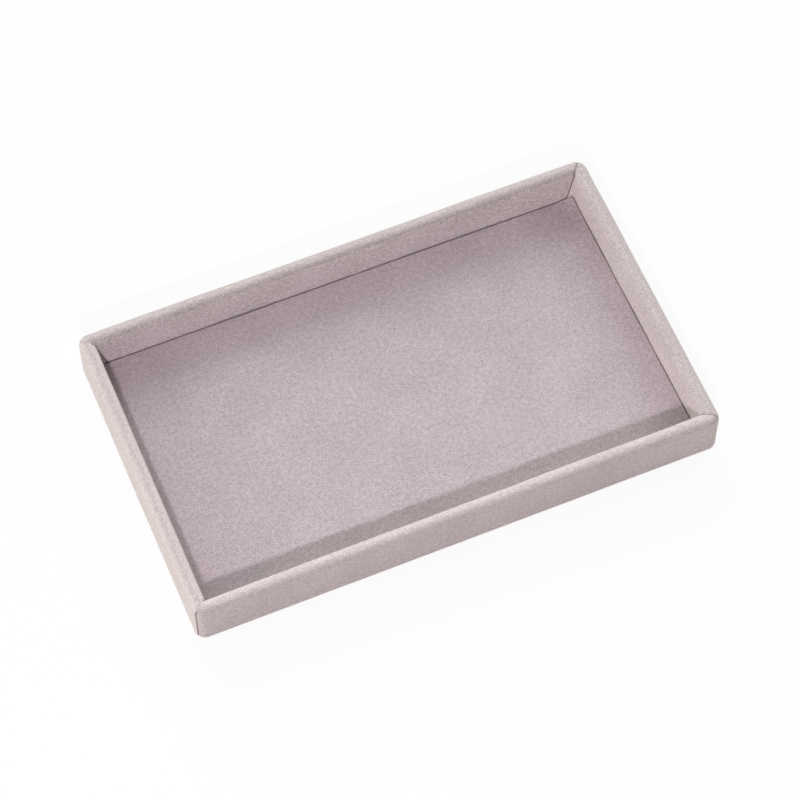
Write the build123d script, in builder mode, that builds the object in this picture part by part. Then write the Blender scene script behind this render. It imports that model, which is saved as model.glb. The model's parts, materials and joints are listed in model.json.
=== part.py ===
from build123d import *
from math import radians, tan
import os

# A velvet jewelry tray. A mitred fibreboard frame is pinned to a base board, four velvet strips are
# wrapped over its walls, a velvet-covered card is its floor, and a lining is glued underneath.
# Millimetres, +Z up, origin at the bottom centre of the tray.
# The long side runs along X and the front wall is on the -Y side.

# The finished tray, over the velvet
tray_length = 250.0
tray_depth = 152.0
tray_height = 25.0

# Boards. The frame is glued up first and then rounded over, so its radii run on through the mitres
wall_board_thickness = 5.5
base_board_thickness = 2.0
rim_radius_share = 0.41
corner_radius_share = 0.77
inner_corner_radius_share = 0.08
foot_chamfer_share = 0.38

# Velvet strips
velvet_thickness = 0.75
turn_under_past_wall = 3.0
seam_gap = 0.25

# A corner seam meets the short wall's outer face this share of the wall's thickness in from the long
# wall's. In the well, the short strips lap over the long walls by this width at the floor
corner_seam_share = 0.25
well_lap_width = 3.0

# Floor pad
card_thickness = 1.0
card_corner_radius = 1.25
pad_gap = 0.4
pad_turn_under = 10.0
pad_edge_radius_share = 1.2

# Lining
lining_thickness = 0.5
lining_inset_share = 0.35
lining_corner_radius = 3.0
lining_slack = 0.3
lining_fold_angle = 45.0

# Headless brads of square wire with a chisel point, punched below the surface
brad_width = 0.6
brad_clearance = 0.05
brad_point_share = 1.5
brad_punch_share = 0.1
corner_brad_length_share = 2.7
corner_brad_height_shares = (0.3, 0.7)
base_brad_length_share = 0.65
long_wall_brad_place_shares = (-0.8, 0.0, 0.8)
short_wall_brad_place_shares = (-0.55, 0.55)

# One overrun for every cutting outline and hole
overrun = 2.0

# Heights
cover_bottom = lining_thickness
base_bottom = cover_bottom + velvet_thickness
base_top = base_bottom + base_board_thickness
board_top = tray_height - velvet_thickness
wall_board_height = board_top - base_top

# Outlines
board_length = tray_length - 2 * velvet_thickness
board_depth = tray_depth - 2 * velvet_thickness
frame_well_length = board_length - 2 * wall_board_thickness
frame_well_depth = board_depth - 2 * wall_board_thickness
well_length = frame_well_length - 2 * velvet_thickness
well_depth = frame_well_depth - 2 * velvet_thickness
wall_thickness = wall_board_thickness + 2 * velvet_thickness
turn_under = wall_thickness + turn_under_past_wall

# Radii of the boards, and of the velvet that lies over them
board_rim_radius = rim_radius_share * wall_board_thickness
board_corner_radius = corner_radius_share * wall_board_thickness
board_foot_chamfer = foot_chamfer_share * base_board_thickness
inner_corner_radius = inner_corner_radius_share * wall_board_thickness
velvet_rim_radius = board_rim_radius + velvet_thickness
velvet_corner_radius = board_corner_radius + velvet_thickness
velvet_foot_radius = board_foot_chamfer + velvet_thickness
shoulder_height = tray_height - velvet_rim_radius

os.makedirs("parts", exist_ok=True)


# The whole board body: base and frame in one, its rims rounded and its foot chamfered. The boards are
# cut out of it
with BuildPart() as board_body:
    with BuildSketch(Plane.XY.offset(base_bottom)):
        RectangleRounded(board_length, board_depth, board_corner_radius)
    extrude(amount=board_top - base_bottom)
    with BuildSketch(Plane.XY.offset(base_top)):
        RectangleRounded(frame_well_length, frame_well_depth, inner_corner_radius)
    extrude(amount=wall_board_height, mode=Mode.SUBTRACT)
    fillet(edges().group_by(Axis.Z)[-1], radius=board_rim_radius)
    chamfer(edges().group_by(Axis.Z)[0], length=board_foot_chamfer)

# The whole velvet skin, one thickness all over the board body. The four strips are cut out of it
with BuildPart() as velvet_skin:
    with BuildSketch(Plane.XY.offset(cover_bottom)):
        RectangleRounded(tray_length, tray_depth, velvet_corner_radius)
    extrude(amount=tray_height - cover_bottom)
    with BuildSketch(Plane.XY.offset(base_top)):
        RectangleRounded(well_length, well_depth, inner_corner_radius)
    extrude(amount=tray_height - base_top, mode=Mode.SUBTRACT)
    fillet(edges().group_by(Axis.Z)[-1], radius=velvet_rim_radius)
    fillet(edges().group_by(Axis.Z)[0], radius=velvet_foot_radius)
    add(board_body.part, mode=Mode.SUBTRACT)
    # Underneath, the skin stops where the strips are turned in
    with BuildSketch(Plane.XY.offset(cover_bottom)):
        Rectangle(tray_length - 2 * turn_under, tray_depth - 2 * turn_under)
    extrude(amount=velvet_thickness, mode=Mode.SUBTRACT)


# Brads. A plane at each brad's entry lies on the board's face and points along the brad
corner_brad_length = corner_brad_length_share * wall_board_thickness
base_brad_length = base_brad_length_share * wall_board_height
brad_punch_depth = brad_punch_share * wall_board_thickness
side_face = board_length / 2
end_face = board_depth / 2
side_middle = side_face - wall_board_thickness / 2
end_middle = end_face - wall_board_thickness / 2
lower_brad_height, upper_brad_height = (
    base_top + share * wall_board_height for share in corner_brad_height_shares
)

# Two brads cross each mitre: the lower one runs along Y into the short wall, the upper one along X
corner_brad_entries = []
for x_side in (-1, 1):
    for y_side in (-1, 1):
        corner_brad_entries.append(
            Plane(origin=(x_side * side_middle, y_side * end_face, lower_brad_height), z_dir=(0, -y_side, 0))
        )
        corner_brad_entries.append(
            Plane(origin=(x_side * side_face, y_side * end_middle, upper_brad_height), z_dir=(-x_side, 0, 0))
        )

# The base's brads go straight up into the middle of each wall
base_brad_places = [
    (share * frame_well_length / 2, y_side * end_middle)
    for y_side in (-1, 1)
    for share in long_wall_brad_place_shares
] + [
    (x_side * side_middle, share * frame_well_depth / 2)
    for x_side in (-1, 1)
    for share in short_wall_brad_place_shares
]
base_brad_entries = [Plane(origin=(x, y, base_bottom)) for x, y in base_brad_places]


def brads(entries, length):
    """A brad at each entry: its side view, a bar with a chisel point, is drawn along the entry's normal."""
    tip = brad_punch_depth + length
    shoulder = tip - brad_point_share * brad_width
    half_width = brad_width / 2
    side_view = (
        (brad_punch_depth, -half_width),
        (shoulder, -half_width),
        (tip, 0),
        (shoulder, half_width),
        (brad_punch_depth, half_width),
    )
    with BuildPart() as group:
        for entry in entries:
            with BuildSketch(Plane(origin=entry.origin, x_dir=entry.z_dir, z_dir=entry.x_dir)):
                Polygon(*side_view, align=None)
            extrude(amount=half_width, both=True)
    return group


corner_brads = brads(corner_brad_entries, corner_brad_length)
base_brads = brads(base_brad_entries, base_brad_length)

# The holes run from outside the face to just past each brad's tip
with BuildPart() as brad_holes:
    for entries, length in ((corner_brad_entries, corner_brad_length), (base_brad_entries, base_brad_length)):
        for entry in entries:
            with BuildSketch(entry.offset(-overrun)):
                Rectangle(brad_width + 2 * brad_clearance, brad_width + 2 * brad_clearance)
            extrude(amount=overrun + brad_punch_depth + length + brad_clearance)


# Base board
with BuildPart() as base_board:
    add(board_body.part)
    split(bisect_by=Plane.XY.offset(base_top), keep=Keep.BOTTOM)
    add(brad_holes.part, mode=Mode.SUBTRACT)

# Wall boards. Each is the slice of the board body between two mitres: the front and right slices are
# drawn, and the back and left ones are the same outlines turned half round
mitre_start_x = side_face + overrun
mitre_start_y = end_face + overrun
mitre_end_x = frame_well_length / 2 - overrun
mitre_end_y = frame_well_depth / 2 - overrun
long_wall_slice = (
    (-mitre_start_x, -mitre_start_y),
    (mitre_start_x, -mitre_start_y),
    (mitre_end_x, -mitre_end_y),
    (-mitre_end_x, -mitre_end_y),
)
short_wall_slice = (
    (mitre_start_x, -mitre_start_y),
    (mitre_start_x, mitre_start_y),
    (mitre_end_x, mitre_end_y),
    (mitre_end_x, -mitre_end_y),
)


def wall_board(slice_outline, turn):
    """The part of the board body above the base that stands on one slice, turned by so many degrees."""
    with BuildPart() as board:
        add(board_body.part)
        with BuildSketch(Plane.XY.offset(base_top).rotated((0, 0, turn))):
            Polygon(*slice_outline, align=None)
        extrude(amount=wall_board_height, mode=Mode.INTERSECT)
        add(brad_holes.part, mode=Mode.SUBTRACT)
    return board


front_wall_board = wall_board(long_wall_slice, turn=0)
right_wall_board = wall_board(short_wall_slice, turn=0)
back_wall_board = wall_board(long_wall_slice, turn=180)
left_wall_board = wall_board(short_wall_slice, turn=180)


# Velvet strips. Every corner seam starts at the well's inner corner and crosses the rim on a slant, so
# the two long strips run a little way round the corners. Under the base the seams are mitred
outer_x = tray_length / 2 + overrun
outer_y = tray_depth / 2 + overrun
well_x = well_length / 2
well_y = well_depth / 2
tuck_x = tray_length / 2 - turn_under - overrun
tuck_y = tray_depth / 2 - turn_under - overrun
slant_y = well_y + (1 - corner_seam_share) * (outer_x - well_x)

long_strip = (
    (-outer_x, -slant_y),
    (-outer_x, -outer_y),
    (outer_x, -outer_y),
    (outer_x, -slant_y),
    (well_x, -well_y),
    (tuck_x, -tuck_y),
    (-tuck_x, -tuck_y),
    (-well_x, -well_y),
)
short_strip = (
    (outer_x, -slant_y + seam_gap),
    (outer_x, slant_y - seam_gap),
    (well_x, well_y - seam_gap),
    (tuck_x, tuck_y - seam_gap),
    (tuck_x, -tuck_y + seam_gap),
    (well_x, -well_y + seam_gap),
)


def well_laps(gap, x_sides):
    """The room of the laps in the well, on the left or right or both, drawn from the front, with a gap."""
    with BuildPart() as laps:
        for y_side in (-1, 1):
            with BuildSketch(Plane.XZ.offset(-y_side * (well_y + velvet_thickness))):
                for x_side in x_sides:
                    wedge = (
                        (x_side * (well_x - well_lap_width - gap), base_top),
                        (x_side * (well_x - gap), shoulder_height + gap),
                        (x_side * (well_x + velvet_thickness), shoulder_height + gap),
                        (x_side * (well_x + velvet_thickness), base_top),
                    )
                    Polygon(*wedge, align=None)
            extrude(amount=y_side * (velvet_thickness + overrun))
    return laps


long_laps = well_laps(gap=seam_gap, x_sides=(-1, 1))
right_laps = well_laps(gap=0, x_sides=(1,))
left_laps = well_laps(gap=0, x_sides=(-1,))


def wall_cover(strip_outline, turn, laps, lap_mode):
    """The velvet skin on one outline, turned by so many degrees, with the laps added or taken away."""
    with BuildPart() as cover:
        with BuildSketch(Plane.XY.offset(cover_bottom).rotated((0, 0, turn))):
            Polygon(*strip_outline, align=None)
        extrude(amount=tray_height - cover_bottom)
        add(laps.part, mode=lap_mode)
        add(velvet_skin.part, mode=Mode.INTERSECT)
    return cover


front_wall_cover = wall_cover(long_strip, turn=0, laps=long_laps, lap_mode=Mode.SUBTRACT)
back_wall_cover = wall_cover(long_strip, turn=180, laps=long_laps, lap_mode=Mode.SUBTRACT)
right_wall_cover = wall_cover(short_strip, turn=0, laps=right_laps, lap_mode=Mode.ADD)
left_wall_cover = wall_cover(short_strip, turn=180, laps=left_laps, lap_mode=Mode.ADD)


# Floor pad: a card, and the velvet over its top and edges and turned in under it
pad_length = well_length - 2 * pad_gap
pad_depth = well_depth - 2 * pad_gap
card_length = pad_length - 2 * velvet_thickness
card_depth = pad_depth - 2 * velvet_thickness
card_bottom = base_top + velvet_thickness
pad_edge_radius = pad_edge_radius_share * velvet_thickness

with BuildPart() as pad_board:
    with BuildSketch(Plane.XY.offset(card_bottom)):
        RectangleRounded(card_length, card_depth, card_corner_radius)
    extrude(amount=card_thickness)

with BuildPart() as pad_cover:
    with BuildSketch(Plane.XY.offset(base_top)):
        RectangleRounded(pad_length, pad_depth, card_corner_radius + velvet_thickness)
    extrude(amount=card_thickness + 2 * velvet_thickness)
    fillet(edges().group_by(Axis.Z)[-1], radius=pad_edge_radius)
    add(pad_board.part, mode=Mode.SUBTRACT)
    with BuildSketch(Plane.XY.offset(base_top)):
        Rectangle(pad_length - 2 * pad_turn_under, pad_depth - 2 * pad_turn_under)
    extrude(amount=velvet_thickness, mode=Mode.SUBTRACT)


# Lining. Its rim lies on the turned-in velvet, and its middle steps up to the base board on a sloping
# fold. The sheet keeps its thickness on the slope because the lower fold line is set in a little
lining_inset = lining_inset_share * turn_under
step_inset = turn_under + lining_slack
fold_shift = lining_thickness * tan(radians(lining_fold_angle / 2))
recess_inset = step_inset + fold_shift

with BuildPart() as underside_lining:
    with BuildSketch():
        RectangleRounded(tray_length - 2 * lining_inset, tray_depth - 2 * lining_inset, lining_corner_radius)
    extrude(amount=lining_thickness)
    with BuildSketch(Plane.XY.offset(lining_thickness)):
        Rectangle(tray_length - 2 * step_inset, tray_depth - 2 * step_inset)
    extrude(amount=velvet_thickness, taper=lining_fold_angle)
    with BuildSketch():
        Rectangle(tray_length - 2 * recess_inset, tray_depth - 2 * recess_inset)
    extrude(amount=velvet_thickness, taper=lining_fold_angle, mode=Mode.SUBTRACT)


# The finished pieces, one file each
pieces = {
    "front_wall_board": front_wall_board,
    "back_wall_board": back_wall_board,
    "left_wall_board": left_wall_board,
    "right_wall_board": right_wall_board,
    "base_board": base_board,
    "corner_brads": corner_brads,
    "base_brads": base_brads,
    "front_wall_cover": front_wall_cover,
    "back_wall_cover": back_wall_cover,
    "left_wall_cover": left_wall_cover,
    "right_wall_cover": right_wall_cover,
    "pad_board": pad_board,
    "pad_cover": pad_cover,
    "underside_lining": underside_lining,
}
for name, piece in pieces.items():
    piece.part.label = name
    export_step(piece.part, f"parts/{name}.step")
    print(name, len(piece.part.solids()), "solids", round(piece.part.volume, 1), "mm3")
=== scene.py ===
# %% [markdown]
# # A velvet jewelry tray
# The real thing is a shallow frame of fibreboard. Four strips of velvet are glued over its walls, a
# velvet-covered card is its floor, and a felt lining closes it underneath. What the eye sees is
# only cloth: soft half-round rims, lapped corners with thin dark seams, and a hairline gap round
# the floor. The boards, the card and the brads come ready made from the CAD frame. This lesson
# makes the cloth.

# %% Load the frame
import json
import math

import bpy
import numpy as np
from mathutils import Matrix


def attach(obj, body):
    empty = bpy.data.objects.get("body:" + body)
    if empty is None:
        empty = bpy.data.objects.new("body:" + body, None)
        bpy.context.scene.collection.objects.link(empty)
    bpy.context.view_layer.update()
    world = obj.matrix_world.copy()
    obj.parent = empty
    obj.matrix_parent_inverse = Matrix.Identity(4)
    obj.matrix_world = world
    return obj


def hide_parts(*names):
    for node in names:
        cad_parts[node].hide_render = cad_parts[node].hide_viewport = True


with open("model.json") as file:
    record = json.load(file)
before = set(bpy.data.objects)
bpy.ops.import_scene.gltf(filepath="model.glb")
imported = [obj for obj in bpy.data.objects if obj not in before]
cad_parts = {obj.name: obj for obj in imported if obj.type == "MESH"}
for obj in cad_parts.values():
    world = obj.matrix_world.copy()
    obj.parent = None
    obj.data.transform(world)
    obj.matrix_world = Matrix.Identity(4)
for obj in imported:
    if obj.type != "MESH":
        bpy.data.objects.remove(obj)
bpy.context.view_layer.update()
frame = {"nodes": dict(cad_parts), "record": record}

MM = 0.001

# %% [markdown]
# ## The camera
# A photograph taken from far away with a long lens has edges that stay nearly parallel. The camera
# stands 1.45 m from the tray, looks down at about 60 degrees from the front left, and leans over by
# less than a degree. It could be turned by three angles, but with vectors its lean and its small
# slides stay easy to follow. A camera looks along its own -Z, so its Z axis is the line from the
# tray back to the camera.

# %% Camera
camera_azimuth = math.radians(-21.99)
camera_elevation = math.radians(60.38)
camera_roll = math.radians(-0.73)
camera_distance = 1450 * MM
slide_right, slide_up = 1.4 * MM, 2.4 * MM

line_back = np.array([
    math.sin(camera_azimuth) * math.cos(camera_elevation),
    -math.cos(camera_azimuth) * math.cos(camera_elevation),
    math.sin(camera_elevation),
])
level_right = np.array([math.cos(camera_azimuth), math.sin(camera_azimuth), 0])
level_up = np.cross(line_back, level_right)
camera_right = math.cos(camera_roll) * level_right + math.sin(camera_roll) * level_up
camera_up = math.cos(camera_roll) * level_up - math.sin(camera_roll) * level_right
camera_place = line_back * camera_distance + camera_right * slide_right + camera_up * slide_up

camera_data = bpy.data.cameras.new("camera")
camera_data.sensor_width = 36
camera_data.lens = 143.96
camera = bpy.data.objects.new("camera", camera_data)
bpy.context.scene.collection.objects.link(camera)
camera_matrix = np.eye(4)
camera_matrix[:3] = np.column_stack([camera_right, camera_up, line_back, camera_place])
camera.matrix_world = Matrix(camera_matrix.tolist())
bpy.context.scene.camera = camera
print("camera at, mm:", (camera_place / MM).round(1))

# %% [markdown]
# ## The shape of a wall
# A wall is wrapped all round, so its cloth is one profile carried along the wall. The profile
# starts at the floor inside, climbs the inner face, goes over a rim that is two quarter circles and
# a narrow flat, comes down the outer face, turns under at the foot and ends under the base. It
# could be drawn as a curve and bevelled, but worked out as numbers it also gives its own normals,
# and every later step needs those.

# %% Wall sizes
tray_height = 25 * MM
wall_thickness = 7 * MM
cloth_thickness = 0.65 * MM
rim_radius = 3 * MM
foot_radius = 1.5 * MM
cover_bottom = 0.5 * MM
well_floor = 3.25 * MM
turned_in = 10 * MM
same_point = 0.0001 * MM


# %% Straight runs and arcs
def run(start, end, angle, steps):
    """Points on a straight line: start + share * (end - start), all with the same normal angle."""
    share = np.linspace(0, 1, steps + 1)[:, None]
    points = np.array(start) + share * (np.array(end) - np.array(start))
    return np.column_stack([points, np.full(steps + 1, math.radians(angle))])


def arc(centre, radius, start, end, steps):
    """Points on a circle: centre + radius * (cos a, sin a). The normal's angle is a."""
    angle = np.radians(np.linspace(start, end, steps + 1))
    points = np.array(centre) + radius * np.column_stack([np.cos(angle), np.sin(angle)])
    return np.column_stack([points, angle])


def join_runs(*pieces):
    """The pieces end to end, without the points that two neighbours share."""
    rows = np.concatenate(pieces)
    step = np.hypot(*np.diff(rows[:, :2], axis=0).T)
    return rows[np.concatenate([[True], step > same_point])]


# %% [markdown]
# ## The wall's profile in rows
# Each row of the cloth is one point of the profile: its inset from the outer face, its height, and
# the angle of its normal, where 0 degrees looks into the well and 90 degrees looks up. The rows lie
# closest on the rounds, because flat faces need few.

# %% Wall profile
shoulder = tray_height - rim_radius
foot_top = cover_bottom + foot_radius
wall_rows = join_runs(
    run((wall_thickness, well_floor), (wall_thickness, shoulder), 0, steps=24),
    arc((wall_thickness - rim_radius, shoulder), rim_radius, 0, 90, steps=10),
    arc((rim_radius, shoulder), rim_radius, 90, 180, steps=10),
    run((0, shoulder), (0, foot_top), 180, steps=24),
    arc((foot_radius, foot_top), foot_radius, 180, 270, steps=8),
    run((foot_radius, cover_bottom), (turned_in, cover_bottom), 270, steps=10),
)
row_inset, row_height, row_angle = wall_rows.T
row_step = np.hypot(np.diff(row_inset), np.diff(row_height))
row_place = np.concatenate([[0], np.cumsum(row_step)])
print("cloth round a wall, mm:", round(row_place[-1] / MM, 1), "in", len(wall_rows), "rows")

# %% [markdown]
# ## Round the corners
# Seen from above, every row runs round the tray on a rounded rectangle of its own. Near the outside
# its corners have a radius of 5 mm, which shrinks with the inset until only a small fold is left
# inside the well. One function places any point by the real distance that it has gone along its
# row, so a strip can stop in the middle of a corner or run past it, and its length in the pattern
# is its true length.

# %% Plan of a row
half_length, half_depth = 125 * MM, 76 * MM
corner_radius = 5 * MM
fold_radius = 0.5 * MM
row_corner = np.maximum(corner_radius - row_inset, fold_radius)


def along_row(distance, inset, corner, half_wall, half_across):
    """Plan point and outward normal at a distance along a row, for a wall seen as the front one.

    The distance is 0 where the straight part starts at the left. x follows it between the two
    corners. In a corner the angle is the distance past its start over its radius, and the point is
    (radius * sin angle, radius * (1 - cos angle)) from there. Past the corner y follows it.
    """
    straight = 2 * (half_wall - inset - corner)
    right_past = distance - straight
    right_angle = np.clip(right_past / corner, 0, math.pi / 2)
    left_angle = np.clip(-distance / corner, 0, math.pi / 2)
    beyond = np.maximum(np.maximum(right_past, -distance) - corner * math.pi / 2, 0)
    bend = np.sin(right_angle) - np.sin(left_angle)
    facing = np.cos(right_angle) * np.cos(left_angle)
    x = np.clip(distance, 0, straight) - straight / 2 + corner * bend
    y = inset - half_across + corner * (1 - facing) + beyond
    return x, y, bend, -facing


# %% [markdown]
# ## Where the strips end
# At each corner the cloth is cut along a slanting line that starts at the well's inner corner,
# crosses the rim and comes down on the round of the corner, nearer to the short wall. A row that
# crosses a straight cut changes from one side of it to the other, so the place of the seam is found
# on finely spaced points, where the sign changes. A Boolean could cut there too, but it leaves
# ragged faces, and this way the seam is an edge of the grid. The cuts were made by eye, so no two
# corners are quite alike. Down in the well the short strips lap over the long walls in a wedge.

# %% Cuts
cut_from = (wall_thickness, wall_thickness)
cuts_to = {
    "front left": (0.8 * MM, 2.3 * MM),
    "front right": (0.5 * MM, 2.8 * MM),
    "back right": (1.9 * MM, 0.0 * MM),
    "back left": (0.5 * MM, 3.0 * MM),
}
search_from, search_to, search_points = -8 * MM, 2 * MM, 2001


def cross_the_cut(inset, corner, cut_to):
    """Distance along a long wall's rows at which each row meets the cut, which ends at cut_to.

    cut_to is given from the short wall's outer face and from the long one's. The side of the cut is
    the cross product of the cut's direction and the way from its start to the point. Between the
    last point before the cut and the first one after it, the crossing is where a line through the
    two values is nought.
    """
    fine = np.linspace(search_from, search_to, search_points)[None, :]
    x, y, *_ = along_row(fine, inset[:, None], corner[:, None], half_length, half_depth)
    cut_x, cut_y = cut_to[0] - cut_from[0], cut_to[1] - cut_from[1]
    side = cut_x * (y + half_depth - cut_from[1]) - cut_y * (x + half_length - cut_from[0])
    before = np.argmax(side[:, 1:] * side[:, :-1] <= 0, axis=1)
    row = np.arange(len(inset))
    low, high = side[row, before], side[row, before + 1]
    share = low / (low - high)
    return fine[0, before] + share * (fine[0, before + 1] - fine[0, before])


# %% Seams
lap_at_floor = 3.6 * MM
lap_settles = 0.15


def smooth_step(value):
    """0 below 0, 1 above 1, and t * t * (3 - 2 t) between."""
    t = np.clip(value, 0, 1)
    return t * t * (3 - 2 * t)


# How far down the inner face each row lies, and how far its seam is a lap and no longer a cut.
down_the_well = np.clip((shoulder - row_height) / (shoulder - well_floor), 0, 1)
down_the_well = down_the_well * (row_inset >= wall_thickness)
lapped = smooth_step(down_the_well / lap_settles)
shown_rows = {"outer face": -20, "rim": 34, "floor": 0}
seams = {}
for place, cut_to in cuts_to.items():
    seams[place] = cross_the_cut(row_inset, row_corner, cut_to) + lap_at_floor * down_the_well
    shown = {face: round(float(seams[place][row]) / MM, 2) for face, row in shown_rows.items()}
    print(place, "seam, mm:", shown)

# %% [markdown]
# ## Columns
# Even columns would waste faces on the straight and still be too coarse for a cut edge, which rolls
# over within half a millimetre. So they are crowded near a seam and spread out where the cloth only
# waves gently. Both ends of a strip have the same spacing. A long strip's end is tucked under the
# short strip in the well, so its columns stay close together until they have come out from below.

# %% Column spacing
settled = 9 * MM
edge_gap = 0.05 * MM
tucked_under = 0.8 * MM
crowded_to, close_to = 0.9 * MM, 1.9 * MM


def spread(start, end, steps, crowd=1.0):
    """Columns from start to end, the first one left out. The share of the way is t ** crowd."""
    share = np.linspace(0, 1, steps + 1)[1:] ** crowd
    return start[:, None] + share * (end - start)[:, None]


def end_columns(place, is_long):
    """Distances along every row from a corner's seam to where the cloth is settled, and the start.

    A seam is known by its distance along the long wall, below 0 in the corner. The short wall
    counts from the corner's other end, so there the same place is -(quarter turn + seam).
    """
    seam = seams[place]
    quarter = row_corner * math.pi / 2
    if is_long:
        start = seam + edge_gap * (1 - lapped) - tucked_under * lapped
        near = (1 - lapped) * start / 2 + lapped * (start + crowded_to)
        far = lapped * (start + close_to)
    else:
        start = edge_gap - quarter - seam
        near = (1 - lapped) * start / 2 - lapped * quarter
        far = 0 * start
    end = np.full(len(start), settled)
    columns = np.concatenate([
        start[:, None],
        spread(start, near, steps=16, crowd=1.5),
        spread(near, far, steps=12),
        spread(far, end, steps=7, crowd=1.2),
    ], axis=1)
    return columns, start[:, None]


# %% [markdown]
# ## How the cloth lies
# Glued velvet is never dead flat. It lifts a little where it laps over another layer, its cut edge
# rolls down, the layer beneath is pressed in, the rim domes down to its seams, and the board and
# the glue leave slow waves. A cloth simulation is for cloth that hangs or folds, and glued cloth
# does neither. Each of these is a small move along the cloth's own normal, so they simply add up.

# %% Slow waves
wave_count, shortest_wave = 9, 0.25


def slow_waves(along, across, height, longest, seed):
    """Waves over a surface: height times a sum of sines of random lengths, turns and phases."""
    draw = np.random.default_rng(seed)
    lengths = longest * draw.uniform(shortest_wave, 1, wave_count)
    turns = draw.uniform(0, math.pi, wave_count)
    phases = draw.uniform(0, 2 * math.pi, wave_count)
    total = 0 * along
    for length, turn, phase in zip(lengths, turns, phases):
        way = along * math.cos(turn) + across * math.sin(turn)
        total = total + np.sin(2 * math.pi / length * way + phase)
    return height * total / math.sqrt(wave_count)


# %% Laps and edges
lap_lift, lap_reach = 0.3 * MM, 4.5 * MM
roll_depth, roll_reach = 0.5 * MM, 0.55 * MM
pressed_in, press_reach = 0.12 * MM, 3 * MM
sunk_depth, sunk_reach = 0.3 * MM, 0.4 * MM


def bell(distance, reach):
    """1 at no distance, and from there down as exp(-(distance / reach) ** 2)."""
    return np.exp(-(distance / reach) ** 2)


def rolled_edge(distance, depth=roll_depth, reach=roll_reach):
    """How far a cut edge rolls down: a quarter of an ellipse that levels off at the reach.

    With share = 1 - distance / reach, that is -depth * (1 - sqrt(1 - share ** 2)).
    """
    share = np.clip(1 - np.abs(distance) / reach, 0, 1)
    return -depth * (1 - np.sqrt(1 - share ** 2))


def lapped_over(distance):
    """A strip that lies over another: it is lifted by a bell, and its edge rolls down."""
    return lap_lift * bell(distance, lap_reach) + rolled_edge(distance)


def lapped_under(distance):
    """A strip that starts under another: pressed in by a bell, and sunk below the upper edge."""
    past = distance - tucked_under
    sunk = sunk_depth * (1 - smooth_step(past / sunk_reach))
    return -pressed_in * bell(np.maximum(past, 0), press_reach) - sunk


# %% [markdown]
# ## From arrays to a mesh
# Every piece of cloth is a closed shell: its pile side, its back, and the cut edge between them. A
# Solidify modifier could add the back, but here each side is moved by its own amount. The same
# quads serve both sides, turned round for the back, and a last ring of quads joins them along the
# edge. The cloth's own places, in metres, go into a UV map for the materials.


# %% Cloth shells
def grid_quads(rows, columns):
    """Quads over a grid, and its edge as a loop.

    They face the side from which rows run down as columns run right.
    """
    index = np.arange(rows * columns).reshape(rows, columns)
    corners = [index[:-1, :-1], index[1:, :-1], index[1:, 1:], index[:-1, 1:]]
    loop = np.concatenate([index[:-1, 0], index[-1, :-1], index[:0:-1, -1], index[0, :0:-1]])
    return np.stack(corners, axis=-1).reshape(-1, 4), loop


def cloth_shell(name, pile, back, quads, loop, cloth_place, **marks):
    """A closed mesh of cloth from two sides of the same layout, with smooth faces and sharp edges.

    Each mark is a number at every point, for the materials. One says how far the colour goes
    towards its paler side, or to its darker one below 0, for the stroked pile and for painted light
    and shade.
    Another says how far the mottling is gone, and a third how far the colour darkens towards the
    dark
    backing, both from 0 to 1: the backing at cut edges, and painted shade in seams and at the
    wall's foot.
    """
    count = len(pile)
    following = np.roll(loop, -1)
    edge = np.stack([following, loop, loop + count, following + count], axis=-1)
    faces = np.concatenate([quads, quads[:, ::-1] + count, edge])
    mesh = bpy.data.meshes.new(name)
    mesh.vertices.add(2 * count)
    mesh.vertices.foreach_set("co", np.concatenate([pile, back]).ravel())
    mesh.loops.add(faces.size)
    mesh.loops.foreach_set("vertex_index", faces.ravel())
    mesh.polygons.add(len(faces))
    mesh.polygons.foreach_set("loop_start", np.arange(0, faces.size, 4))
    mesh.polygons.foreach_set("use_smooth", np.ones(len(faces), dtype=bool))
    uv = mesh.uv_layers.new(name="cloth")
    uv.data.foreach_set("uv", np.tile(cloth_place, (2, 1))[faces.ravel()].ravel())
    for mark, values in marks.items():
        both_sides = np.tile(values.ravel(), 2)
        mesh.attributes.new(mark, "FLOAT", "POINT").data.foreach_set("value", both_sides)
    mesh.update(calc_edges=True)
    mesh.validate()
    mesh.set_sharp_from_angle(angle=math.radians(70))
    shell = bpy.data.objects.new(name, mesh)
    bpy.context.scene.collection.objects.link(shell)
    return shell


# %% [markdown]
# ## The stroked pile and painted light
# Hands have stroked the pile over the rims, paler on some sides and darker on others, and on top of
# that light and shade are painted in: paler where the rims catch the light, darker on faces turned
# from it. So each strip has a nap value, which holds both, at six stations of its profile: inner
# face, inner round, the two edges of the crown, outer round and outer face. Hands have also pressed
# the pile flat, so its mottling is partly evened out on the rims and the outer faces. Painting this
# by hand would give finer streaks, but numbers between stations are enough for such soft bands.

# %% Stations for nap and painted light
inner_end = shoulder - well_floor
quarter_arc = rim_radius * math.pi / 2
crown_width = wall_thickness - 2 * rim_radius
nap_stations = inner_end + np.cumsum([
    0, quarter_arc / 2, quarter_arc / 2, crown_width, quarter_arc / 2, quarter_arc / 2
])
evened_by_hands = (0, 0.3, 0.38, 0.38, 0.55, 0.38)
# Stroked pile and painted light and shade: values lift the rims that catch the light and lower the
# faces turned from it.
naps = {
    "front": (0, 0.24, 0.17, 0.06, -0.11, -0.05),
    "right": (0.17, 0.0, 0.02, 0.04, 0.12, 0.05),
    "back": (0.03, -0.18, -0.01, 0.07, 0.02, 0),
    "left": (0.05, 0.37, 0.05, 0.03, 0.17, 0.13),
}
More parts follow.
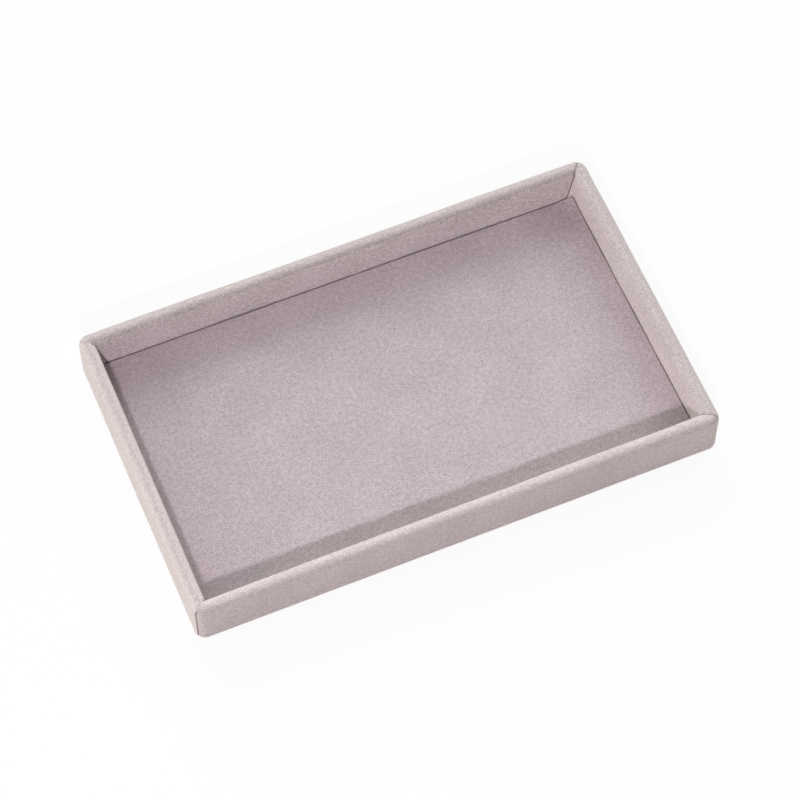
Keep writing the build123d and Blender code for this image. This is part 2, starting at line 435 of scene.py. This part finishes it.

# %% [markdown]
# ## The ends of the strips
# No two seams look alike: some are deep and dark on the rim, and others are nearly closed. So each
# end of a strip names its corner, how deep the seam is on the rim from 0 to 1, how far the rim
# domes down to it, and how far its cut edge is darkened, also from 0 to 1, for the dark backing and
# painted shade in the seam.

# %% Strip ends
front_left, back_right = ("front left", 0.08, 0.0, 1.0), ("back right", 0.6, 0.0, 0.8)
strip_ends = {
    "front": (front_left, ("front right", 0.7, 0.6 * MM, 0.25)),
    "right": (("front right", 0.7, 0.2 * MM, 0.25), back_right),
    "back": (back_right, ("back left", 0.3, 0.2 * MM, 0.1)),
    "left": (("back left", 0.3, 0.4 * MM, 0.1), front_left),
}
column_width = 2.2 * MM


def strip_columns(half_wall, is_long, ends):
    """Distances along every row from one seam to the other, and the two ends of every row."""
    straight = 2 * (half_wall - row_inset - row_corner)[:, None]
    opening, start = end_columns(ends[0][0], is_long)
    closing, before_end = end_columns(ends[1][0], is_long)
    closing = straight - closing[:, ::-1]
    middle = spread(opening[:, -1], closing[:, 0], int(round(2 * half_wall / column_width)))
    distance = np.concatenate([opening, middle, closing[:, 1:]], axis=1)
    return distance, start, straight - before_end


# %% Moves of a strip
wall_wave_height, wall_wave_length = 0.09 * MM, 90 * MM
held_foot = 3 * MM
rim_fade = 1.2 * MM
dome_reach = 3 * MM
bare_reach = 0.3 * MM


def strip_moves(distance, start, end, along, height, lapping, is_long, ends, seed):
    """How far each point moves along its normal, and how far the cut edges are darkened.

    The waves fade out at the foot, where glue holds the cloth. Each end adds its roll, or in the
    well its lap, and on the rim its dome. The darkening, for the dark backing and painted shade in
    the seam, fades from the cut edge as a bell.
    """
    free = np.clip((height - cover_bottom) / held_foot, 0, 1)
    move = free * slow_waves(distance, along, wall_wave_height, wall_wave_length, seed)
    bare = 0 * distance
    on_rim = smooth_step((height - shoulder - rim_fade) / rim_fade)
    lie = lapped_under if is_long else lapped_over
    for away, (_, rim_seam, dome, backing_and_shade) in zip((distance - start, end - distance), ends):
        shown = 1 - on_rim * (1 - rim_seam)
        move = move + (1 - lapping) * rolled_edge(away, roll_depth * shown) + lapping * lie(away)
        move = move + on_rim * rolled_edge(away, dome, dome_reach)
        # Darker cut edges: the dark backing, and painted shade in the seam.
        bare = np.maximum(bare, backing_and_shade * shown * bell(away, bare_reach))
    return move, bare


# %% [markdown]
# ## The four wall strips
# Each strip is made as if its wall were the front one, and turned into place by a quarter turn at a
# time before it becomes a mesh. That keeps the object itself at the origin and unturned. At the
# foot of the inner face, in the narrow gap beside the floor pad, the colour is darkened as painted
# shade.

# %% Wall strips
foot_painted_shade, foot_shade_top, foot_shade_fade = 0.5, 6.2 * MM, 0.5 * MM
back_sinks = 0.05 * MM
first_wall_seed = 11


def wall_strip(side, quarter_turns, ends, nap):
    """One strip: rows and columns placed along the wall, moved along their normals, made a shell.

    ends are its two corners, and its last argument gives the stroked pile and painted light and
    shade at each station of the profile. The back follows the pile side, but sinks into the board
    by no more than back_sinks.
    """
    is_long = side in ("front", "back")
    half_wall, half_across = (half_length, half_depth) if is_long else (half_depth, half_length)
    distance, start, end = strip_columns(half_wall, is_long, ends)
    inset, corner, height, angle, lapping, along = (
        np.repeat(row[:, None], distance.shape[1], axis=1)
        for row in (row_inset, row_corner, row_height, row_angle, lapped, row_place)
    )
    x, y, normal_x, normal_y = along_row(distance, inset, corner, half_wall, half_across)
    outward = -np.cos(angle)
    point = np.stack([x, y, height], axis=-1)
    normal = np.stack([outward * normal_x, outward * normal_y, np.sin(angle)], axis=-1)
    move, bare = strip_moves(
        distance, start, end, along, height, lapping, is_long, ends, first_wall_seed + quarter_turns
    )
    # Painted shade at the foot of the inner face, in the gap beside the floor pad.
    foot_shade = foot_painted_shade * smooth_step((foot_shade_top - height) / foot_shade_fade)
    bare = np.maximum(bare, foot_shade * (inset >= wall_thickness))
    back_move = np.maximum(move, -back_sinks) - cloth_thickness
    turn = quarter_turns * math.pi / 2
    cos, sin = math.cos(turn), math.sin(turn)
    spin = np.array([[cos, sin, 0], [-sin, cos, 0], [0, 0, 1]])
    pile, back = (
        ((point + way[..., None] * normal) @ spin).reshape(-1, 3) for way in (move, back_move)
    )
    quads, loop = grid_quads(*distance.shape)
    cloth_place = np.stack([distance, along], axis=-1).reshape(-1, 2)
    # Row by row: the stroked pile with painted light and shade, and how far the mottling is evened.
    nap, evened = (np.interp(along, nap_stations, values) for values in (nap, evened_by_hands))
    name = f"{side}_wall_velvet"
    strip = cloth_shell(
        name, pile, back, quads, loop, cloth_place, nap=nap, evened=evened, bare=bare
    )
    row_length = (end - start)[:, 0]
    flat = (float(row_place[-1]), float(row_length.max()))
    area = float(np.sum(row_length * np.gradient(row_place)))
    print(name, distance.shape, "flat, mm:", [round(length / MM, 1) for length in flat])
    return strip, flat, area


strips = {}
for quarter_turns, side in enumerate(("front", "right", "back", "left")):
    strips[side] = wall_strip(side, quarter_turns, strip_ends[side], naps[side])

# %% [markdown]
# ## The floor pad
# The floor is a thin card with velvet pulled over it and turned in beneath. Its top is nearly flat
# and its edge is a tight round, so a plain grid covers the top and a ring of rows goes down the
# side and under. A bevelled box would have the shape too, but no places for the pattern. A square
# grid gets round corners by pressing the corner squares into quarter discs.

# %% Pad sizes
pad_half_length, pad_half_depth = 117.62 * MM, 68.62 * MM
pad_bottom, pad_top = 3.27 * MM, 5.75 * MM
pad_corner, smallest_corner = 2 * MM, 0.15 * MM
pad_edge_radius = 0.4 * MM
pad_fold_radius = 0.4 * MM
pad_turned_in = 10 * MM
pad_border = 14 * MM


# %% Rounded grids
def rounded_grid(x_line, y_line, corner):
    """A grid over a rounded rectangle, with each point's share of the core and its lean.

    The core is the rectangle between the corners. In a corner square with sides 0..1, (p, q) goes
    to (p * sqrt(1 - q * q / 2), q * sqrt(1 - p * p / 2)), which presses it into a quarter disc.
    That is the lean, and a point is the nearest one of the core plus the corner's radius times it.
    """
    x, y = np.meshgrid(x_line, y_line)
    core_x, core_y = x_line.max() - corner, y_line.max() - corner
    p = np.maximum(np.abs(x) - core_x, 0) / corner
    q = np.maximum(np.abs(y) - core_y, 0) / corner
    inner_x, inner_y = np.clip(x, -core_x, core_x), np.clip(y, -core_y, core_y)
    lean_x = np.sign(x) * p * np.sqrt(1 - q * q / 2)
    lean_y = np.sign(y) * q * np.sqrt(1 - p * p / 2)
    flat_x, flat_y = inner_x + corner * lean_x, inner_y + corner * lean_y
    return flat_x, flat_y, inner_x / core_x, inner_y / core_y, lean_x, lean_y


def crowded_line(half, corner, middle_steps, border=pad_border, border_steps=8, corner_steps=5):
    """Grid lines from -half to half: over the corner, through the border, and across the middle."""
    edge = np.concatenate([
        np.linspace(half - border, half - corner, border_steps + 1)[:-1],
        np.linspace(half - corner, half, corner_steps + 1),
    ])
    middle = np.linspace(-half + border, half - border, middle_steps + 1)[1:-1]
    return np.concatenate([-edge[::-1], middle, edge])


# %% Pad top
flat_half_length = pad_half_length - pad_edge_radius
flat_half_depth = pad_half_depth - pad_edge_radius
flat_corner = pad_corner - pad_edge_radius
pad_x, pad_y, share_x, share_y, lean_x, lean_y = rounded_grid(
    crowded_line(flat_half_length, flat_corner, middle_steps=90),
    crowded_line(flat_half_depth, flat_corner, middle_steps=50),
    flat_corner,
)
# The grid's rows run up the plan, so its quads are turned round to face up.
top_quads, top_loop = grid_quads(*pad_x.shape)
top_quads, top_loop = top_quads[:, ::-1], top_loop[::-1]
print("pad top:", pad_x.shape, "points,", len(top_loop), "round its edge")

# %% [markdown]
# ## How the pad's cloth lies
# The card pushes the cloth up by a hair's breadth more in some places than in others, and at the
# back right corner the turned-in cloth bunches, so that corner stands a little proud and closes the
# gap, with a shallow dip beside it. Along the walls the pad's colour is darker, as painted shade
# where the walls shade the floor.

# %% Pad lift and painted shade
from_right, from_left = pad_half_length - pad_x, pad_half_length + pad_x
from_back, from_front = pad_half_depth - pad_y, pad_half_depth + pad_y
pad_wave_height, pad_wave_length, pad_seed = 0.06 * MM, 110 * MM, 21
bunch_height, bunch_reach = 1.2 * MM, 4.5 * MM
dip_depth, dip_from_right = 0.5 * MM, 12 * MM
dip_half_width, dip_reach = 4 * MM, 5 * MM

pad_lift = slow_waves(pad_x, pad_y, pad_wave_height, pad_wave_length, pad_seed)
pad_lift += bunch_height * bell(np.hypot(from_right, from_back), bunch_reach)
dip = bell(from_right - dip_from_right, dip_half_width) * bell(from_back, dip_reach)
pad_lift -= dip_depth * dip
# Painted shade: the pad is darker near each wall, fading over the given reach.
pad_nap = 0 * pad_x
for away, darker, reach in (
    (from_right, 0.17, 22 * MM),
    (from_left, 0.18, 12 * MM),
    (from_back, 0.12, 24 * MM),
    (from_front, 0.06, 25 * MM),
):
    pad_nap -= darker * bell(away, reach)
print("pad lift, mm:", (pad_lift.min() / MM).round(2), "to", (pad_lift.max() / MM).round(2))

# %% [markdown]
# ## The pad's edge
# Below the top, each row goes once round the pad. It repeats the top's edge, with the corners drawn
# in as the rows turn under, so every point has one neighbour above it and the shell closes.

# %% Pad ring
pad_rows = join_runs(
    arc((pad_edge_radius, pad_top - pad_edge_radius), pad_edge_radius, 90, 180, steps=7),
    run((0, pad_top - pad_edge_radius), (0, pad_bottom + pad_fold_radius), 180, steps=3),
    arc((pad_fold_radius, pad_bottom + pad_fold_radius), pad_fold_radius, 180, 270, steps=4),
    run((pad_fold_radius, pad_bottom), (pad_turned_in, pad_bottom), 270, steps=6),
)
edge_x, edge_y, edge_share_x, edge_share_y, edge_lift, edge_nap, out_x, out_y = (
    grid.ravel()[top_loop]
    for grid in (pad_x, pad_y, share_x, share_y, pad_lift, pad_nap, lean_x, lean_y)
)
out_size = np.hypot(out_x, out_y)
out_x, out_y = out_x / out_size, out_y / out_size


def pad_ring(rows, thickness):
    """The rows below the top: share * (half size - inset - corner) + outward * corner.

    The back's rows lie a thickness inside the pile's, against the normal of the profile.
    """
    inset = (rows[:, 0] - thickness * np.cos(rows[:, 2]))[:, None]
    height = (rows[:, 1] - thickness * np.sin(rows[:, 2]))[:, None]
    corner = np.maximum(pad_corner - inset, smallest_corner)
    x = edge_share_x * (pad_half_length - inset - corner) + out_x * corner
    y = edge_share_y * (pad_half_depth - inset - corner) + out_y * corner
    fade = np.clip((height - pad_bottom) / (pad_top - pad_bottom), 0, 1)
    return np.stack([x, y, height + fade * edge_lift], axis=-1).reshape(-1, 3)


# %% Pad
# Under the top the back lies straight below the pile, and the ring has a back of its own.
below_top = pad_rows[1:]
top_pile = np.stack([pad_x, pad_y, pad_top + pad_lift], axis=-1).reshape(-1, 3)
top_back = top_pile - [0, 0, cloth_thickness]
ring_index = np.arange(len(below_top) * len(top_loop)).reshape(len(below_top), -1)
ring_index = np.concatenate([top_loop[None], len(top_pile) + ring_index])
ring_next = np.roll(ring_index, -1, axis=1)
ring_corners = [ring_index[:-1], ring_index[1:], ring_next[1:], ring_next[:-1]]
ring_quads = np.stack(ring_corners, axis=-1).reshape(-1, 4)
ring_length = np.cumsum(np.hypot(*np.diff(pad_rows[:, :2], axis=0).T))[:, None]
ring_place = np.stack([edge_x + out_x * ring_length, edge_y + out_y * ring_length], axis=-1)
pad_cover = cloth_shell(
    "pad_velvet",
    np.concatenate([top_pile, pad_ring(below_top, 0)]),
    np.concatenate([top_back, pad_ring(below_top, cloth_thickness)]),
    np.concatenate([top_quads, ring_quads]),
    ring_index[-1],
    np.concatenate([top_pile[:, :2], ring_place.reshape(-1, 2)]),
    nap=np.concatenate([pad_nap.ravel(), np.tile(edge_nap, len(below_top))]),
)

# The cloth is cut to a rectangle, less a square at each corner that ends 1 mm short of the card.
print("pad faces:", len(pad_cover.data.polygons))

# %% [markdown]
# ## The lining
# Underneath, a sheet of felt covers the turned-in edges of the velvet. Its margin lies on them and
# its middle steps up to the bare base, so the tray stands on the margin alone. It could be laid on
# by a cloth simulation, but a smooth step at the velvet's edge is all that it would find.

# %% Lining
lining_half_length, lining_half_depth = 121.5 * MM, 72.5 * MM
lining_thickness = 0.48 * MM
lining_corner = 3 * MM
lining_rise = 0.75 * MM
step_start, step_end = 6.7 * MM, 7.7 * MM
step_margin = 1 * MM
step_lines, margin_lines, corner_lines, middle_lines = 11, 4, 8, 60


def lining_line(half):
    """Grid lines across the lining: close together at the corner and the step, even between."""
    inside, outside = half - step_end - step_margin, half - step_start + step_margin
    edge = np.concatenate([
        np.linspace(inside, outside, step_lines)[:-1],
        np.linspace(outside, half - lining_corner, margin_lines)[:-1],
        np.linspace(half - lining_corner, half, corner_lines),
    ])
    middle = np.linspace(-inside, inside, middle_lines)[1:-1]
    return np.concatenate([-edge[::-1], middle, edge])


lining_x, lining_y, *_ = rounded_grid(
    lining_line(lining_half_length), lining_line(lining_half_depth), lining_corner
)
from_side = np.minimum(lining_half_length - np.abs(lining_x), lining_half_depth - np.abs(lining_y))
lining_height = lining_rise * smooth_step((from_side - step_start) / (step_end - step_start))
lining_face = np.stack([lining_x, lining_y, lining_height], axis=-1).reshape(-1, 3)
lining_back = lining_face + [0, 0, lining_thickness]
# Here the rows that run up the plan are right, because the felt's face looks down.
lining_quads, lining_loop = grid_quads(*lining_x.shape)
lining = cloth_shell(
    "lining_felt", lining_face, lining_back, lining_quads, lining_loop, lining_face[:, :2]
)
print("lining faces:", len(lining.data.polygons))

# %% [markdown]
# ## Shared effects for the materials
# Velvet, felt, board and card all show broad soft patches, tufts, and fine flecks that are the
# fibres themselves. A picture of each would do, but it would repeat and blur up close, and noise
# does neither. One node group mixes three scales of noise and puts out a shade and a height.

# %% Node helpers
def put(tree, kind, **inputs):
    """A new node with its sockets set by name. An underscore in a name stands for a space."""
    node = tree.nodes.new(kind)
    for name, value in inputs.items():
        node.inputs[name.replace("_", " ")].default_value = value
    return node


def make_group(name, inputs, outputs):
    """An empty shader group with float sockets at their usual values, and its two end nodes."""
    tree = bpy.data.node_groups.new(name, "ShaderNodeTree")
    sockets = tree.interface
    sockets.new_socket("Place", in_out="INPUT", socket_type="NodeSocketVector")
    for socket, value in inputs.items():
        new = sockets.new_socket(socket, in_out="INPUT", socket_type="NodeSocketFloat")
        new.default_value = value
    for socket in outputs:
        sockets.new_socket(socket, in_out="OUTPUT", socket_type="NodeSocketFloat")
    return tree, tree.nodes.new("NodeGroupInput"), tree.nodes.new("NodeGroupOutput")


# %% Fibres group
fibre_scales = {"Patches per metre": 40, "Tufts per metre": 400, "Flecks per metre": 1400}
fibres, fibres_in, fibres_out = make_group(
    "fibres", {**fibre_scales, "Patch Share": 0.4, "Tuft Share": 0.3}, ["Shade", "Height"]
)
link = fibres.links.new
patches = put(fibres, "ShaderNodeTexNoise", Detail=2.0, Roughness=0.5)
tufts = put(fibres, "ShaderNodeTexNoise", Detail=2.0, Roughness=0.6)
flecks = put(fibres, "ShaderNodeTexNoise", Detail=1.0, Roughness=0.6)
for texture, scale in zip((patches, tufts, flecks), fibre_scales):
    link(fibres_in.outputs["Place"], texture.inputs["Vector"])
    link(fibres_in.outputs[scale], texture.inputs["Scale"])
fine = put(fibres, "ShaderNodeMix")
link(fibres_in.outputs["Tuft Share"], fine.inputs["Factor"])
link(flecks.outputs["Fac"], fine.inputs["A"])
link(tufts.outputs["Fac"], fine.inputs["B"])
both = put(fibres, "ShaderNodeMix")
link(fibres_in.outputs["Patch Share"], both.inputs["Factor"])
link(fine.outputs["Result"], both.inputs["A"])
link(patches.outputs["Fac"], both.inputs["B"])
link(both.outputs["Result"], fibres_out.inputs["Shade"])
link(fine.outputs["Result"], fibres_out.inputs["Height"])
print("fibres group:", len(fibres.nodes), "nodes")

# %% [markdown]
# ## The start of every finish
# Cloth, board and card differ in their colours and their place on the surface, but begin alike: the
# group's shade is stretched to a contrast, and its height makes a bump. One function builds that,
# and another blends two colours. What is the same all over goes straight into the shader's sockets.


# %% Finish helpers
def linear(red, green, blue):
    """A colour given in 0..255 as a shader value: ((c / 255 + 0.055) / 1.055) ** 2.4."""
    return tuple(((c / 255 + 0.055) / 1.055) ** 2.4 for c in (red, green, blue)) + (1.0,)


def start_finish(name, place_kind, place_output, amounts, contrast, bump, bump_height, **sockets):
    """A new material, its tree, shader and stretched shade, and the node that gives its place.

    The stretched shade is (shade - 0.5) * contrast + 0.5, kept within 0 and 1. amounts are the
    group's own values, and sockets are the shader's.
    """
    material = bpy.data.materials.new(name)
    material.use_nodes = True
    tree = material.node_tree
    shader = tree.nodes["Principled BSDF"]
    for socket, value in sockets.items():
        shader.inputs[socket.replace("_", " ")].default_value = value
    place = tree.nodes.new(place_kind)
    group = tree.nodes.new("ShaderNodeGroup")
    group.node_tree = fibres
    for socket, value in amounts.items():
        group.inputs[socket].default_value = value
    tree.links.new(place.outputs[place_output], group.inputs["Place"])
    reach = 0.5 / contrast
    stretch = put(tree, "ShaderNodeMapRange", From_Min=0.5 - reach, From_Max=0.5 + reach)
    tree.links.new(group.outputs["Shade"], stretch.inputs["Value"])
    bumps = put(tree, "ShaderNodeBump", Strength=bump, Distance=bump_height)
    tree.links.new(group.outputs["Height"], bumps.inputs["Height"])
    tree.links.new(bumps.outputs["Normal"], shader.inputs["Normal"])
    return material, tree, shader, stretch.outputs["Result"], place


def blend_colours(tree, share, towards):
    """A node that goes from its colour A towards this one as the share, a socket, goes to 1."""
    mix = tree.nodes.new("ShaderNodeMix")
    mix.data_type = "RGBA"
    mix.inputs["B"].default_value = towards
    tree.links.new(share, mix.inputs["Factor"])
    return mix


# %% [markdown]
# ## Velvet
# Velvet is a dense short pile. Seen along its fibres it looks deep and dull, and at a grazing angle
# their sides catch the light, so its edges are paler than its faces. Millions of hairs could show
# that, but the sheen of the shader does it with none. The group's shade mixes a lighter and a
# darker mauve, and its height gives the pile a fine uneven surface. Three marks of the mesh change
# it. The first shifts the shade where hands stroked the pile, and also paints in light and shade:
# paler rims, darker faces, and a darker pad near the walls. The second takes the mottling away.
# The third brings out the dark backing at cut edges, and paints shade into the seams and into the
# gap at the foot of the walls. A mark that a mesh doesn't have counts as 0. The pad has the same
# velvet laid the other way, so it is a little cooler, and it is darker partly as painted shade.


# %% Velvet material
# The dark backing at cut edges, also used as painted shade in seams and at the wall's foot.
backing_and_shade = linear(88, 76, 80)
sheen_tint = linear(255, 250, 250)


def cloth_material(name, dark, light, amounts, contrast, sheen):
    """A pile or felt finish: shade plus nap goes from dark to light, and marked places are
    darkened.

    The share of the light colour is (shade - 0.5) * contrast * (1 - evened) + 0.5 + nap. Nap stands
    for the stroked pile and for painted light and shade. The colour darkens towards the backing at
    cut edges, and as painted shade in seams and at the wall's foot.
    """
    material, tree, shader, shade, place = start_finish(
        name, "ShaderNodeUVMap", "UV", amounts, contrast, bump=0.4, bump_height=0.3 * MM,
        Roughness=0.95, Specular_IOR_Level=0.1,
        Sheen_Weight=sheen, Sheen_Roughness=0.5, Sheen_Tint=sheen_tint,
    )
    place.uv_map = "cloth"
    # Marks of the mesh: stroked pile with painted light and shade, evened mottling, and darkening
    # for the backing and painted shade.
    nap, evened, bare = (tree.nodes.new("ShaderNodeAttribute") for _ in range(3))
    nap.attribute_name, evened.attribute_name, bare.attribute_name = "nap", "evened", "bare"
    calm = put(tree, "ShaderNodeMix", B=0.5)
    tree.links.new(evened.outputs["Fac"], calm.inputs["Factor"])
    tree.links.new(shade, calm.inputs["A"])
    both = tree.nodes.new("ShaderNodeMath")
    tree.links.new(calm.outputs["Result"], both.inputs[0])
    tree.links.new(nap.outputs["Fac"], both.inputs[1])
    mix = blend_colours(tree, both.outputs["Value"], light)
    mix.inputs["A"].default_value = dark
    # Darker towards the backing: cut edges, and painted shade in seams and at the wall's foot.
    backing_and_shade_mix = blend_colours(tree, bare.outputs["Fac"], backing_and_shade)
    tree.links.new(mix.outputs["Result"], backing_and_shade_mix.inputs["A"])
    tree.links.new(backing_and_shade_mix.outputs["Result"], shader.inputs["Base Color"])
    return material


# %% Velvet and felt
velvet_fibres = {
    "Tufts per metre": 500, "Flecks per metre": 2100, "Patch Share": 0.09, "Tuft Share": 0.26
}
velvet = cloth_material(
    "velvet", linear(135, 119, 123), linear(248, 236, 237), velvet_fibres, contrast=3.3, sheen=0.2
)
# The pad's velvet: laid the other way, and darker as painted shade, since the pad gets less light
# than the rims.
velvet_floor_shaded = cloth_material(
    "velvet_floor_shaded", linear(161, 146, 152), linear(221, 207, 213), velvet_fibres,
    contrast=3.9, sheen=0.2,
)
felt = cloth_material(
    "felt", linear(119, 106, 109), linear(179, 163, 167), {"Patch Share": 0.25},
    contrast=2.5, sheen=0.05,
)
for strip, _, _ in strips.values():
    strip.data.materials.append(velvet)
pad_cover.data.materials.append(velvet_floor_shaded)
lining.data.materials.append(felt)

# %% [markdown]
# ## Board, card and steel
# These are hidden under the cloth, but they are real pieces of the tray and show when it is taken
# apart. Their shapes come from the frame, and only their finish is made here. A board has no
# pattern that bends with it, so its finish can sit on the object's own coordinates.


# %% Board, card and steel materials
def hard_material(name, dark, light, roughness, metallic, bump):
    """A board, card or wire finish: the group's shade goes from dark to light."""
    material, tree, shader, shade, _ = start_finish(
        name, "ShaderNodeTexCoord", "Object", {}, contrast=2.5, bump=bump, bump_height=0.1 * MM,
        Roughness=roughness, Metallic=metallic,
    )
    mix = blend_colours(tree, shade, light)
    mix.inputs["A"].default_value = dark
    tree.links.new(mix.outputs["Result"], shader.inputs["Base Color"])
    return material


finishes = {
    "fibreboard": hard_material(
        "fibreboard", linear(158, 124, 88), linear(188, 156, 118),
        roughness=0.85, metallic=0.0, bump=0.4,
    ),
    "card": hard_material(
        "grey_card", linear(140, 136, 130), linear(168, 164, 157),
        roughness=0.9, metallic=0.0, bump=0.3,
    ),
    "steel_pin": hard_material(
        "steel_wire", linear(150, 150, 152), linear(196, 196, 198),
        roughness=0.35, metallic=1.0, bump=0.2,
    ),
}
for part in frame["record"]["subparts"]:
    if part["material_slot"] in finishes:
        node = frame["nodes"][part["node"]]
        node.data.materials.clear()
        node.data.materials.append(finishes[part["material_slot"]])
        print(part["node"], "is", part["material_slot"])

# %% [markdown]
# ## Telling the frame what each piece is
# Nothing on this tray moves, so every piece rides on the one body. Each cloth piece takes the place
# of its CAD node, which is hidden.

# %% Declarations
for side, (strip, flat, area) in strips.items():
    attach(strip, "root")
    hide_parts(f"{side}_wall_cover")
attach(pad_cover, "root")
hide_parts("pad_cover")
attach(lining, "root")
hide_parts("underside_lining")

# %% [markdown]
# ## The floor
# The photograph has a white ground. A floor of white paint would need too much light, so the camera
# sees mostly a white glow, with a share of real paint that still takes the tray's shadow. All other
# rays see the paint alone, so the floor adds no light of its own to the tray. The outer faces of
# the tray are warmer than its well, as if it stood on a warm table, so the paint is a pale cream
# that tints the light it gives back, and the glow is a hair bluer to keep the ground white.

# %% What the camera sees
def seen_by_camera(tree):
    """A socket that is 1 where the camera looks, also in a mirror or through glass, else 0."""
    path = tree.nodes.new("ShaderNodeLightPath")
    seen = path.outputs["Is Camera Ray"]
    for way in ("Is Glossy Ray", "Is Transmission Ray"):
        either = tree.nodes.new("ShaderNodeMath")
        either.operation = "MAXIMUM"
        tree.links.new(seen, either.inputs[0])
        tree.links.new(path.outputs[way], either.inputs[1])
        seen = either.outputs[0]
    return seen


def two_shaders(tree, share, others_meet, camera_meets, surface):
    """The first shader where the share is 0, the second where it is 1, joined to the surface."""
    blend = tree.nodes.new("ShaderNodeMixShader")
    tree.links.new(share, blend.inputs["Fac"])
    tree.links.new(others_meet, blend.inputs[1])
    tree.links.new(camera_meets, blend.inputs[2])
    tree.links.new(blend.outputs["Shader"], surface)


# %% Floor
# The floor lies a hair below the tray's underside, so that no two faces share one plane.
floor_half, floor_drop = 3000 * MM, 0.05 * MM
floor_cream, glow_white, glow_strength = (0.81, 0.79, 0.74, 1), (1.0, 1.0, 1.01, 1), 1.02
glow_share = 0.88

floor_corners = [(-1, -1), (1, -1), (1, 1), (-1, 1)]
floor_mesh = bpy.data.meshes.new("floor")
floor_mesh.from_pydata(
    [(x * floor_half, y * floor_half, -floor_drop) for x, y in floor_corners], [], [(0, 1, 2, 3)]
)
floor = bpy.data.objects.new("floor", floor_mesh)
bpy.context.scene.collection.objects.link(floor)

floor_paint = bpy.data.materials.new("floor_paint")
floor_paint.use_nodes = True
tree = floor_paint.node_tree
paint = tree.nodes["Principled BSDF"]
paint.inputs["Base Color"].default_value = floor_cream
paint.inputs["Roughness"].default_value = 0.9
glow = put(tree, "ShaderNodeEmission", Color=glow_white, Strength=glow_strength)
share = tree.nodes.new("ShaderNodeMath")
share.operation = "MULTIPLY"
share.inputs[1].default_value = glow_share
tree.links.new(seen_by_camera(tree), share.inputs[0])
two_shaders(
    tree, share.outputs[0], paint.outputs["BSDF"], glow.outputs["Emission"],
    tree.nodes["Material Output"].inputs["Surface"],
)
floor_mesh.materials.append(floor_paint)
print("floor, m:", 2 * floor_half, "square")

# %% [markdown]
# ## The light
# The photograph shows where its light comes from. The rims are palest on the side away from the
# camera and the well is dim along the back wall, so a broad light stands low behind the tray. The
# outer left face is pale and warm, so another one stands low on the left. The even dark band behind
# the front wall is the shadow of a small light in front. Its far edge lies about 16 mm behind the
# inner face of a wall that stands 19 mm above the pad, so seen from the side the light comes down
# at about 45 degrees. The left wall throws a narrower band, 4.5 mm wide, so that light also stands
# somewhat to the left. A weak light on the right fills in, and the strengths come from a fit to the
# brightness of each face.

# %% Lights
def soft_light(name, toward, distance, size, strength, colour):
    """A round area lamp on the line that points toward it, turned to face the tray.

    A lamp shines along its own -Z, so its Z axis is that line, and the other two are square to it.
    """
    direction = np.array(toward) / np.linalg.norm(toward)
    side = np.cross([0, 0, 1], direction)
    side = side / np.linalg.norm(side)
    up = np.cross(direction, side)
    matrix = np.eye(4)
    matrix[:3] = np.column_stack([side, up, direction, direction * distance])
    data = bpy.data.lights.new(name, "AREA")
    data.shape = "DISK"
    data.size = size
    data.energy = strength
    data.color = colour
    lamp = bpy.data.objects.new(name, data)
    lamp.matrix_world = Matrix(matrix.tolist())
    bpy.context.scene.collection.objects.link(lamp)
    print(name, "at, m:", (direction * distance).round(2))


soft_light(
    "light_behind", toward=(0.1, 1.0, 0.58), distance=4.0,
    size=3.2, strength=118.0, colour=(0.93, 1.0, 0.95),
)
soft_light(
    "light_in_front", toward=(-4.3, -10.85, 11.05), distance=1.6,
    size=0.12, strength=12.6, colour=(0.99, 0.95, 1.0),
)
soft_light(
    "light_left", toward=(-1.0, 0.0, 0.38), distance=1.4,
    size=0.7, strength=6.1, colour=(1.0, 1.0, 0.9),
)
soft_light(
    "light_right", toward=(1.0, 0.2, 0.9), distance=2.0,
    size=1.4, strength=8.4, colour=(1.0, 1.0, 0.98),
)

# %% [markdown]
# ## The room
# A pale room gives the rest of the light, from all sides. A picture of a real room would also do,
# but this tray mirrors nothing. The camera sees plain white where the floor ends, and all other
# rays get the room.

# %% Room
room_colour, room_strength = (1, 0.98, 0.9, 1), 0.137
world = bpy.data.worlds.new("room")
world.use_nodes = True
tree = world.node_tree
room_light = tree.nodes["Background"]
room_light.inputs["Color"].default_value = room_colour
room_light.inputs["Strength"].default_value = room_strength
white = put(tree, "ShaderNodeBackground", Color=(1, 1, 1, 1), Strength=1.0)
two_shaders(
    tree, seen_by_camera(tree), room_light.outputs["Background"], white.outputs["Background"],
    tree.nodes["World Output"].inputs["Surface"],
)
bpy.context.scene.world = world
bpy.context.scene.view_settings.view_transform = "Standard"
